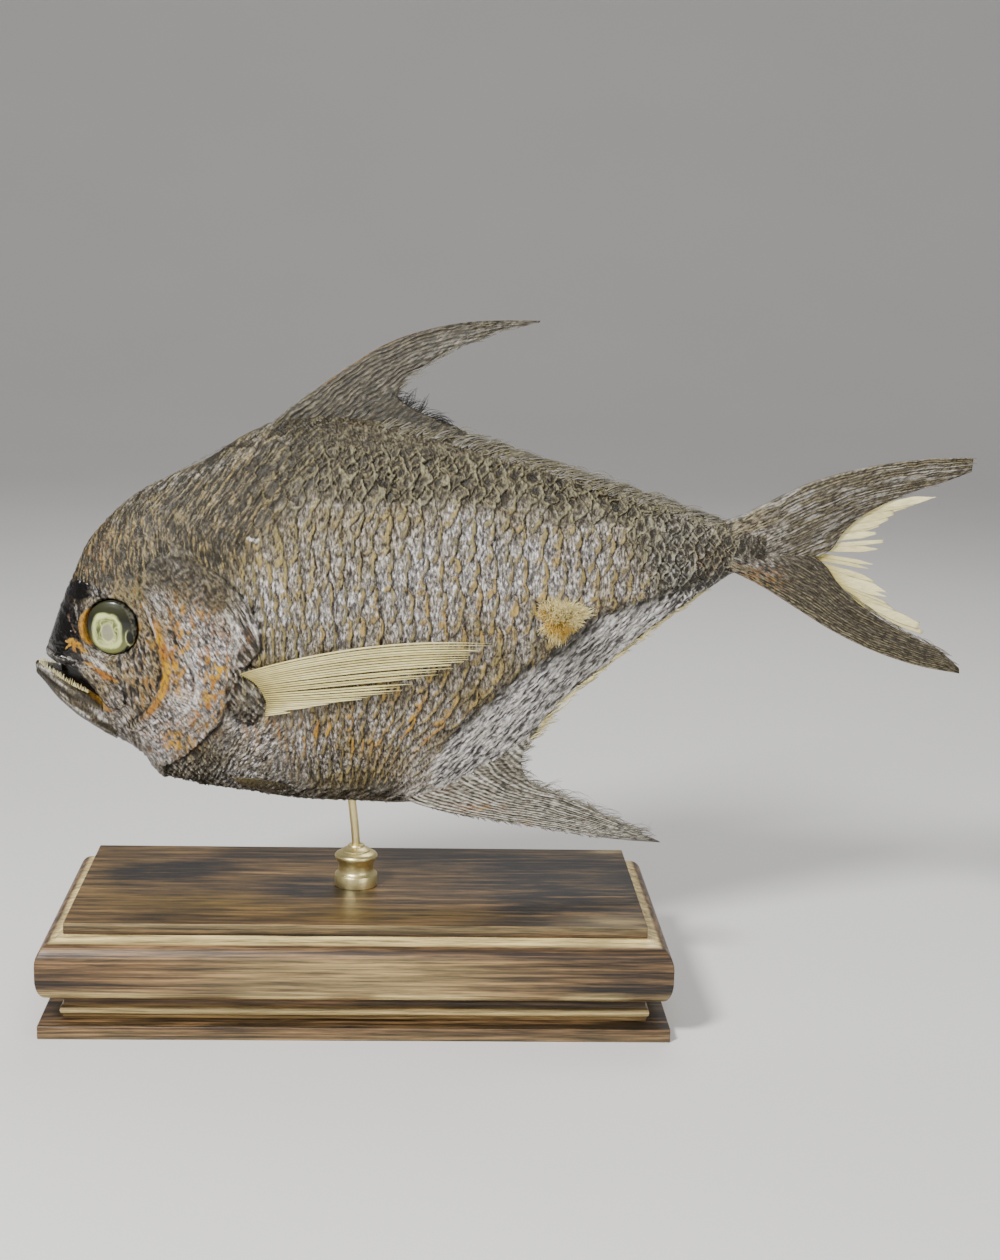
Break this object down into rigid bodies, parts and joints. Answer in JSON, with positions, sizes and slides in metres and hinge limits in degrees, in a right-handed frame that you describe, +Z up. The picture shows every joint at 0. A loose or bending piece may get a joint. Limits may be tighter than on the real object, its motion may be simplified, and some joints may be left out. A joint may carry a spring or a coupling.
{
  "type": "mounted fish specimen",
  "caption": "Dried deep-bodied pomfret with overlapping scales and long swept fins, carried by a brass rod and collar on a moulded pine base.",
  "frame": {"origin": "centre of the underside of the base", "axes": "+X from the mouth to the tail, +Z up, the fish's left side faces -Y"},
  "size_m": [0.6111, 0.202, 0.4495],
  "materials": {
    "fish_skin": "dried and varnished",
    "eye": "cloudy, glossy front",
    "brass": "turned, satin",
    "pine": "scorched, brushed and oiled"
  },
  "bodies": {
    "root": {"fish": "fish_skin", "eye_left": "eye", "eye_right": "eye", "rod": "brass", "collar": "brass", "base_panel": "pine", "base_bullnose": "pine", "base_fillet": "pine", "base_foot": "pine"}
  },
  "joints": []
}
